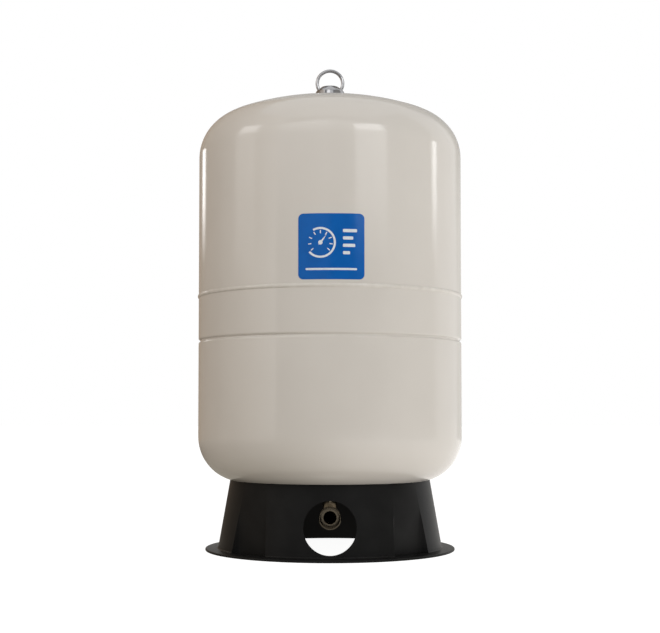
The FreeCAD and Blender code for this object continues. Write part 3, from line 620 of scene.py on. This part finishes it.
def make_print():
    """A plain pictogram: a gauge with ticks and a needle, four bars beside it and one line below."""
    shapes = [dial_ring()]
    tick_low = DIAL_INNER - TICK_GAP - TICK_LENGTH
    tick = round_bar(-TICK_WIDTH / 2, TICK_WIDTH / 2, tick_low, tick_low + TICK_LENGTH, TICK_WIDTH / 4)
    for number in range(TICKS):
        turn = DIAL_SWEEP * (number / (TICKS - 1) - 0.5)
        shapes.append(ink(turned_outline(tick, turn)))
    needle = [(-NEEDLE_WIDTH / 2, 0), (0, -NEEDLE_TAIL), (NEEDLE_WIDTH / 2, 0), (0, NEEDLE_LENGTH)]
    shapes.append(ink(turned_outline(needle, NEEDLE_TURN)))
    shapes.append(ink(arc(DIAL_X, DIAL_Z, HUB_RADIUS, 0, FULL_TURN, HUB_STEPS)[:-1]))
    for number, length in enumerate(BAR_LENGTHS):
        low = TOP_BAR - number * BAR_PITCH
        shapes.append(ink(round_bar(BAR_LEFT, BAR_LEFT + length, low, low + BAR_HEIGHT, BAR_CORNER)))
    line_left, line_right = LABEL_X - LINE_HALF_LENGTH, LABEL_X + LINE_HALF_LENGTH
    shapes.append(ink(round_bar(line_left, line_right, LINE_BOTTOM, LINE_BOTTOM + LINE_HEIGHT, BAR_CORNER)))
    return join_pieces("label_print", shapes)


label_outline = round_bar(LABEL_X - LABEL_WIDTH / 2, LABEL_X + LABEL_WIDTH / 2,
                          LABEL_Z - LABEL_HEIGHT / 2, LABEL_Z + LABEL_HEIGHT / 2, LABEL_CORNER)
label = lay_film("label_film", label_outline, 0, LABEL_THICKNESS)
wrap_on_shell(label)
stand_for(label, "label", "tank")
label_print = make_print()
wrap_on_shell(label_print)
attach(label_print, "tank")


# Materials

def linear(code):
    """A #RRGGBB sRGB colour as linear RGBA."""
    channels = [int(code[start:start + 2], 16) / 255 for start in (1, 3, 5)]
    lit = [c / 12.92 if c <= 0.04045 else ((c + 0.055) / 1.055) ** 2.4 for c in channels]
    return (*lit, 1.0)


def add_node(tree, kind, sockets=None, **settings):
    """Adds one node with its settings; each named socket takes a value or another node's output."""
    made = tree.nodes.new(kind)
    for name, setting in settings.items():
        setattr(made, name, setting)
    for name, given in (sockets or {}).items():
        if isinstance(given, bpy.types.NodeSocket):
            tree.links.new(given, made.inputs[name])
        else:
            made.inputs[name].default_value = given
    return made


def new_material(name, base, roughness, metallic=0.0, **more):
    """A Principled material; constant values are set on the shader's own sockets."""
    material = bpy.data.materials.new(name)
    material.use_nodes = True
    shader = material.node_tree.nodes["Principled BSDF"]
    shader.inputs["Base Color"].default_value = linear(base)
    shader.inputs["Roughness"].default_value = roughness
    shader.inputs["Metallic"].default_value = metallic
    for socket, setting in more.items():
        shader.inputs[socket.replace("_", " ").title().replace("Ior", "IOR")].default_value = setting
    return material, material.node_tree, shader


def noise(tree, size, detail=2.0, stretch=(1, 1, 1)):
    """Noise with patches of a real size in metres, stretched along an axis where wanted."""
    where = add_node(tree, "ShaderNodeTexCoord").outputs["Object"]
    scaled = add_node(tree, "ShaderNodeMapping", {"Vector": where, "Scale": stretch})
    return add_node(tree, "ShaderNodeTexNoise", {
        "Vector": scaled.outputs["Vector"], "Scale": 1 / size, "Detail": detail}).outputs["Fac"]


def vary_colour(tree, shader, amount, dark, light, low=0.35, high=0.65):
    """Lets the base colour drift between two tones as a pattern goes from low to high."""
    mix = add_node(tree, "ShaderNodeValToRGB", {"Fac": amount})
    mix.color_ramp.elements[0].position, mix.color_ramp.elements[1].position = low, high
    mix.color_ramp.elements[0].color, mix.color_ramp.elements[1].color = linear(dark), linear(light)
    tree.links.new(mix.outputs["Color"], shader.inputs["Base Color"])


def vary_roughness(tree, shader, amount, low, high):
    """Lets the roughness drift from low to high with a pattern."""
    spread = add_node(tree, "ShaderNodeMapRange", {
        "Value": amount, "From Min": 0.3, "From Max": 0.7, "To Min": low, "To Max": high})
    tree.links.new(spread.outputs["Result"], shader.inputs["Roughness"])


def raise_relief(tree, shader, height, depth):
    """Bumps the surface by a pattern whose full height is a real depth in metres."""
    bump = add_node(tree, "ShaderNodeBump", {"Height": height, "Distance": depth, "Strength": 1.0})
    tree.links.new(bump.outputs["Normal"], shader.inputs["Normal"])
    return bump


# Baked enamel on pressed steel: glossy, with a faint orange peel and a slow drift of tone
enamel, tree, shader = new_material("baked_almond_enamel", "#D1CCC5", 0.12, ior=1.5)
vary_colour(tree, shader, noise(tree, 90 * MM), "#D0CBC4", "#D2CDC6")
raise_relief(tree, shader, noise(tree, 3.0 * MM, 1.0), 0.001 * MM)

# Enamel over the weld bead: the same coat, over the fine ripples of the weld run
weld_enamel, tree, shader = new_material("baked_almond_enamel_on_weld", "#D1CCC5", 0.2, ior=1.5)
vary_colour(tree, shader, noise(tree, 12 * MM), "#CEC9C1", "#D4CFC8")
raise_relief(tree, shader, noise(tree, 2.2 * MM, 1.0), 0.05 * MM)

# Injection-moulded polypropylene, black: a fine spark-eroded grain that traps most of the sheen
polypropylene, tree, shader = new_material("moulded_black_polypropylene", "#161616", 0.4, ior=1.49,
                                          specular_ior_level=0.1)
vary_colour(tree, shader, noise(tree, 35 * MM), "#141414", "#181818")
grain = noise(tree, 0.9 * MM, 1.0)
vary_roughness(tree, shader, grain, 0.36, 0.44)
raise_relief(tree, shader, grain, 0.02 * MM)

# Stainless tube, bent and bright-drawn: faint draw lines, browned a little by the welding
drawn_stainless, tree, shader = new_material("bright_drawn_stainless", "#C8BBA4", 0.22, 1.0)
vary_roughness(tree, shader, noise(tree, 6 * MM), 0.16, 0.26)
raise_relief(tree, shader, noise(tree, 0.8 * MM, 1.0, (1, 1, 0.1)), 0.004 * MM)

# Stainless socket, turned in a lathe: fine rings of tool marks, dull; its base colour is painted dark brown,
# as painted shade for its place deep inside the stand
turned_stainless_painted_dark, tree, shader = new_material("lathe_turned_stainless", "#6E675B", 0.28, 1.0)
vary_roughness(tree, shader, noise(tree, 4 * MM), 0.22, 0.32)
raise_relief(tree, shader, noise(tree, 0.7 * MM, 1.0, (0.05, 1, 0.05)), 0.004 * MM)

# Weld metal in stainless: small overlapping ripples, straw-coloured by heat
stainless_weld, tree, shader = new_material("stainless_weld_metal", "#A39A89", 0.34, 1.0)
vary_colour(tree, shader, noise(tree, 5 * MM), "#8F826C", "#B4AEA4")
raise_relief(tree, shader, noise(tree, 1.8 * MM, 1.0), 0.08 * MM)

# Chromium plate on turned steel: a mirror with a few hairline rubs; its colour is darker than chromium's, as
# painted shade that dims what it mirrors
chrome_painted_dim, tree, shader = new_material("polished_chromium_plate_painted_dim", "#A6A6A8", 0.08, 1.0)
vary_roughness(tree, shader, noise(tree, 7 * MM), 0.06, 0.12)

# Printed vinyl film, blue, under a gloss laminate
vinyl, tree, shader = new_material("laminated_blue_vinyl", "#015BAC", 0.14, ior=1.5)
vary_colour(tree, shader, noise(tree, 20 * MM), "#0059A9", "#025DAF")

# White printing ink under the same laminate
white_ink, tree, shader = new_material("screen_printed_white_ink", "#DDE2E6", 0.14, ior=1.5)
vary_colour(tree, shader, noise(tree, 2 * MM), "#D8DDE2", "#E2E6EA")

# Bare rolled steel of the clench ring and boss: satin, with mill streaks and faint oxide
rolled_steel, tree, shader = new_material("rolled_mild_steel", "#8E8F90", 0.4, 1.0)
vary_colour(tree, shader, noise(tree, 15 * MM), "#7F8082", "#9A9A9A")
vary_roughness(tree, shader, noise(tree, 3 * MM), 0.34, 0.46)

# Moulded polypropylene liner, natural: milky and half matt
natural_plastic, tree, shader = new_material("moulded_natural_polypropylene", "#DADBD6", 0.42, ior=1.49,
                                             subsurface_weight=0.1)
vary_colour(tree, shader, noise(tree, 40 * MM), "#D5D7D1", "#DFE0DC")

# Butyl rubber: matt black with a dusty bloom
rubber, tree, shader = new_material("moulded_butyl_rubber", "#191919", 0.8, ior=1.52)
vary_colour(tree, shader, noise(tree, 8 * MM), "#151515", "#232323")
raise_relief(tree, shader, noise(tree, 0.6 * MM, 1.0), 0.02 * MM)

# Brass, turned: warm yellow with fine rings of tool marks
brass, tree, shader = new_material("lathe_turned_brass", "#C9A35A", 0.24, 1.0)
vary_colour(tree, shader, noise(tree, 3 * MM), "#BE9850", "#D2AC63")
vary_roughness(tree, shader, noise(tree, 0.3 * MM, 1.0, (0.05, 0.05, 1)), 0.2, 0.32)

# Spring wire, cold-drawn stainless: bright, with fine draw lines
spring_wire, tree, shader = new_material("cold_drawn_spring_wire", "#B9B7B2", 0.25, 1.0)
vary_roughness(tree, shader, noise(tree, 0.4 * MM), 0.2, 0.3)

finishes = {
    enamel: [upper_shell, lower_shell],
    weld_enamel: [girth_weld],
    polypropylene: [stand],
    drawn_stainless: [water_elbow, nodes["inlet_washer"]],
    turned_stainless_painted_dark: [threaded_socket, nodes["inlet_nut"]],
    stainless_weld: [nodes["inlet_weld"]],
    chrome_painted_dim: [ring_cap, lifting_ring],
    vinyl: [label],
    white_ink: [label_print],
    rolled_steel: [nodes["clench_ring"], nodes["valve_boss"]],
    natural_plastic: [nodes["water_liner"]],
    rubber: [nodes["diaphragm"], nodes["inlet_gasket"], nodes["core_seal"], nodes["pin_seal"]],
    brass: [nodes["valve_stem"], nodes["core_barrel"], nodes["core_pin"]],
    spring_wire: [nodes["core_spring"]],
}
replaced = {
    enamel: ["upper_shell", "lower_shell"], weld_enamel: ["girth_weld"], polypropylene: ["stand"],
    drawn_stainless: ["water_elbow"], turned_stainless_painted_dark: ["threaded_socket"],
    chrome_painted_dim: ["ring_cap", "lifting_ring"], vinyl: ["label"],
}
for material, pieces in finishes.items():
    for piece in pieces + [nodes[name] for name in replaced.get(material, [])]:
        piece.data.materials.clear()
        piece.data.materials.append(material)

# Stage: floor, walls, world, lamps and camera

FLOOR_SIZE = 40.0
FLOOR_DROP = 0.05 * MM
UNDER_TANK = 0.19
CLEAR_OF_TANK = 0.26
WALL_HEIGHT = 6.0


def seen_directly(tree):
    """1 for camera, mirror and see-through rays, which take the white background as it is."""
    rays = add_node(tree, "ShaderNodeLightPath")
    mirror = add_node(tree, "ShaderNodeMath", operation="MAXIMUM")
    tree.links.new(rays.outputs["Is Camera Ray"], mirror.inputs[0])
    tree.links.new(rays.outputs["Is Glossy Ray"], mirror.inputs[1])
    either = add_node(tree, "ShaderNodeMath", operation="MAXIMUM")
    tree.links.new(mirror.outputs[0], either.inputs[0])
    tree.links.new(rays.outputs["Is Transmission Ray"], either.inputs[1])
    return either.outputs[0]


def mix_shaders(tree, amount, first, second, output):
    """The first shader where the amount is 0 and the second where it is 1."""
    mix = add_node(tree, "ShaderNodeMixShader", {"Fac": amount})
    tree.links.new(first, mix.inputs[1])
    tree.links.new(second, mix.inputs[2])
    tree.links.new(mix.outputs[0], output)


def fade_between(tree, where, stops):
    """A ramp of colours along a length; stops are (place, linear colour) from its low to its high end."""
    low, high = stops[0][0], stops[-1][0]
    along = add_node(tree, "ShaderNodeMapRange", {"Value": where, "From Min": low, "From Max": high})
    ramp = add_node(tree, "ShaderNodeValToRGB", {"Fac": along.outputs["Result"]})
    steps = ramp.color_ramp.elements
    while len(steps) < len(stops):
        steps.new(0.5)
    for step, (stop, colour) in zip(steps, stops):
        step.position = (stop - low) / (high - low)
        step.color = (*colour, 1.0)
    return ramp.outputs["Color"]


def grey(level):
    """A neutral colour of a linear level."""
    return level, level, level


def own_place(tree, axis):
    """A surface point's place along one of its object's own axes."""
    where = add_node(tree, "ShaderNodeTexCoord").outputs["Object"]
    return add_node(tree, "ShaderNodeSeparateXYZ", {"Vector": where}).outputs[axis]


bpy.ops.object.select_all(action="DESELECT")
bpy.ops.mesh.primitive_plane_add(size=FLOOR_SIZE, location=(0, 0, -FLOOR_DROP))
floor = bpy.context.object
floor.name = floor.data.name = "studio_floor"
# Pale paper floor: white as seen, with the tank's shadow; the light it gives is dimmer at the left and
# under the tank
paper = bpy.data.materials.new("pale_paper_floor")
paper.use_nodes = True
tree = paper.node_tree
tree.nodes.clear()
out = add_node(tree, "ShaderNodeOutputMaterial")
where = add_node(tree, "ShaderNodeTexCoord").outputs["Object"]
reach = add_node(tree, "ShaderNodeVectorMath", {"Vector": where}, operation="LENGTH").outputs["Value"]
strength = add_node(tree, "ShaderNodeMapRange", {
    "Value": reach, "From Min": UNDER_TANK, "From Max": CLEAR_OF_TANK, "To Min": 0.5}).outputs["Result"]
from_left_to_right = fade_between(tree, own_place(tree, "X"), [
    (-2.5, (0.36, 0.31, 0.26)), (-0.6, (0.2, 0.17, 0.14)), (-0.15, (0.45, 0.42, 0.36)),
    (0.1, (1.0, 0.96, 0.91)), (0.6, (1.25, 1.23, 1.2))])
bounce = add_node(tree, "ShaderNodeEmission", {"Strength": strength, "Color": from_left_to_right})
shadowed = add_node(tree, "ShaderNodeBsdfDiffuse", {"Color": (*grey(0.3), 1)})
glow = add_node(tree, "ShaderNodeEmission", {"Strength": 0.94})
lit = add_node(tree, "ShaderNodeAddShader")
tree.links.new(shadowed.outputs[0], lit.inputs[0])
tree.links.new(glow.outputs[0], lit.inputs[1])
as_seen = add_node(tree, "ShaderNodeLightPath").outputs["Is Camera Ray"]
mix_shaders(tree, as_seen, bounce.outputs[0], lit.outputs[0], out.inputs["Surface"])
floor.data.materials.append(paper)


def stand_wall(name, start, end, stops, axis="Z"):
    """A studio wall out of the camera's sight, painted along an axis; it lights and is mirrored."""
    wall = draw_wire(name, [(*start, 0), (*end, 0)])
    bpy.ops.mesh.extrude_edges_move(TRANSFORM_OT_translate={"value": (0, 0, WALL_HEIGHT)})
    finish_piece(wall)
    paint = bpy.data.materials.new(name + "_paint")
    paint.use_nodes = True
    tree = paint.node_tree
    tree.nodes.clear()
    glow = add_node(tree, "ShaderNodeEmission", {"Color": fade_between(tree, own_place(tree, axis), stops)})
    out = add_node(tree, "ShaderNodeOutputMaterial", {"Surface": glow.outputs[0]})
    wall.data.materials.append(paint)
    wall.visible_camera = False


# The walls behind dim the dome's rim and the shell's sides, and the left ones are warm and darker
stand_wall("back_wall", (3.2, 3.9), (-0.9, 3.9), [
    (0, (0.72, 0.71, 0.68)), (1.2, (0.72, 0.71, 0.68)), (1.7, (0.45, 0.44, 0.42)),
    (WALL_HEIGHT, (0.42, 0.41, 0.39))])
stand_wall("left_back_wall", (-0.9, 3.9), (-3.6, 1.0), [
    (0, (0.34, 0.26, 0.19)), (WALL_HEIGHT, (0.34, 0.26, 0.19))])
stand_wall("left_wall", (-3.6, 1.0), (-3.6, -3.6), [
    (-3.6, (1.3, 1.25, 1.2)), (-1.5, (0.9, 0.81, 0.71)), (1, (0.42, 0.34, 0.27))], "Y")
# The front walls are dark behind the camera and bright higher up, where the dome mirrors them
stand_wall("front_left_wall", (-3.6, -3.6), (0, -3.6), [
    (0, grey(0.3)), (1.1, grey(0.3)), (1.9, grey(1.3)), (4, grey(2.2)), (4.01, grey(0.4))])
stand_wall("front_right_wall", (0, -3.6), (3.6, -3.6), [
    (0, grey(0.12)), (1.1, grey(0.12)), (1.9, grey(0.7)), (4, grey(1.2)), (4.01, grey(0.4))])
stand_wall("right_wall", (3.6, -3.6), (3.6, 0.6), [
    (0, (0.45, 0.44, 0.42)), (WALL_HEIGHT, (0.45, 0.44, 0.42))])

# World: white as seen and mirrored; the light it gives grows from left to right
world = bpy.data.worlds.new("studio")
world.use_nodes = True
tree = world.node_tree
tree.nodes.clear()
out = add_node(tree, "ShaderNodeOutputWorld")
way = add_node(tree, "ShaderNodeTexCoord").outputs["Generated"]
across = add_node(tree, "ShaderNodeSeparateXYZ", {"Vector": way}).outputs["X"]
around = add_node(tree, "ShaderNodeBackground", {"Color": fade_between(tree, across, [
    (-1, (0.2, 0.18, 0.16)), (0, grey(0.45)), (1, (1.0, 0.97, 0.93))])})
white = add_node(tree, "ShaderNodeBackground", {"Color": (1, 1, 1, 1)})
mix_shaders(tree, seen_directly(tree), around.outputs[0], white.outputs[0], out.inputs["Surface"])
bpy.context.scene.world = world


def hang_softbox(name, spot, width, stops):
    """An upright softbox facing the tank; stops are (height, radiance) from its foot to its top."""
    low, high = stops[0][0], stops[-1][0]
    peak = max(radiance for height, radiance in stops)
    box = bpy.data.lights.new(name, "AREA")
    box.shape = "RECTANGLE"
    box.size, box.size_y = width, high - low
    box.energy = peak * math.pi * box.size * box.size_y
    box.use_nodes = True
    tree = box.node_tree
    up = add_node(tree, "ShaderNodeSeparateXYZ", {
        "Vector": add_node(tree, "ShaderNodeNewGeometry").outputs["Parametric"]}).outputs["Y"]
    levels = [((height - low) / (high - low), grey(radiance / peak)) for height, radiance in stops]
    tree.links.new(fade_between(tree, up, levels), tree.nodes["Emission"].inputs["Color"])
    lamp = bpy.data.objects.new(name, box)
    bpy.context.scene.collection.objects.link(lamp)
    lamp.location = (*spot, (low + high) / 2)
    lamp.rotation_euler = Vector((-spot[0], -spot[1], 0)).to_track_quat("-Z", "Y").to_euler()
    lamp.visible_camera = False


# Each softbox hangs where its highlight lies on the shell; the two strips draw the bright lines at its sides
hang_softbox("front_right_softbox", (1.355, -2.009), 1.17, [
    (0.72, 0.0), (0.95, 1.1), (1.3, 1.9), (1.5, 2.1), (1.6, 4.0), (2.25, 4.4)])
hang_softbox("left_softbox", (-2.25, -0.60), 0.85, [
    (0.7, 0.3), (1.1, 0.8), (1.5, 1.0), (1.62, 2.6), (2.2, 3.3)])
hang_softbox("back_left_strip", (-1.39, 1.53), 0.33, [
    (0.72, 0.0), (0.83, 1.2), (0.92, 2.8), (1.02, 3.4), (1.14, 3.6)])
hang_softbox("right_strip", (2.127, 0.257), 0.22, [
    (0.72, 0.0), (0.85, 1.8), (0.95, 3.5), (1.05, 4.8), (1.2, 5.6)])

# Camera at the photograph's place, pitched up a little, with the rest of the framing by shift
FRAME_WIDTH = 660
FRAME_RAISE = 40
CAMERA_SPOT = (0, -2.19576, 0.23174)
CAMERA_TURN = math.radians(92.5402)
camera_data = bpy.data.cameras.new("camera")
camera_data.sensor_width = 36.0
camera_data.lens = 69.685
camera_data.shift_y = FRAME_RAISE / FRAME_WIDTH
camera = bpy.data.objects.new("camera", camera_data)
bpy.context.scene.collection.objects.link(camera)
camera.location = CAMERA_SPOT
camera.rotation_euler = (CAMERA_TURN, 0, 0)
bpy.context.scene.camera = camera
bpy.context.scene.view_settings.view_transform = "Standard"
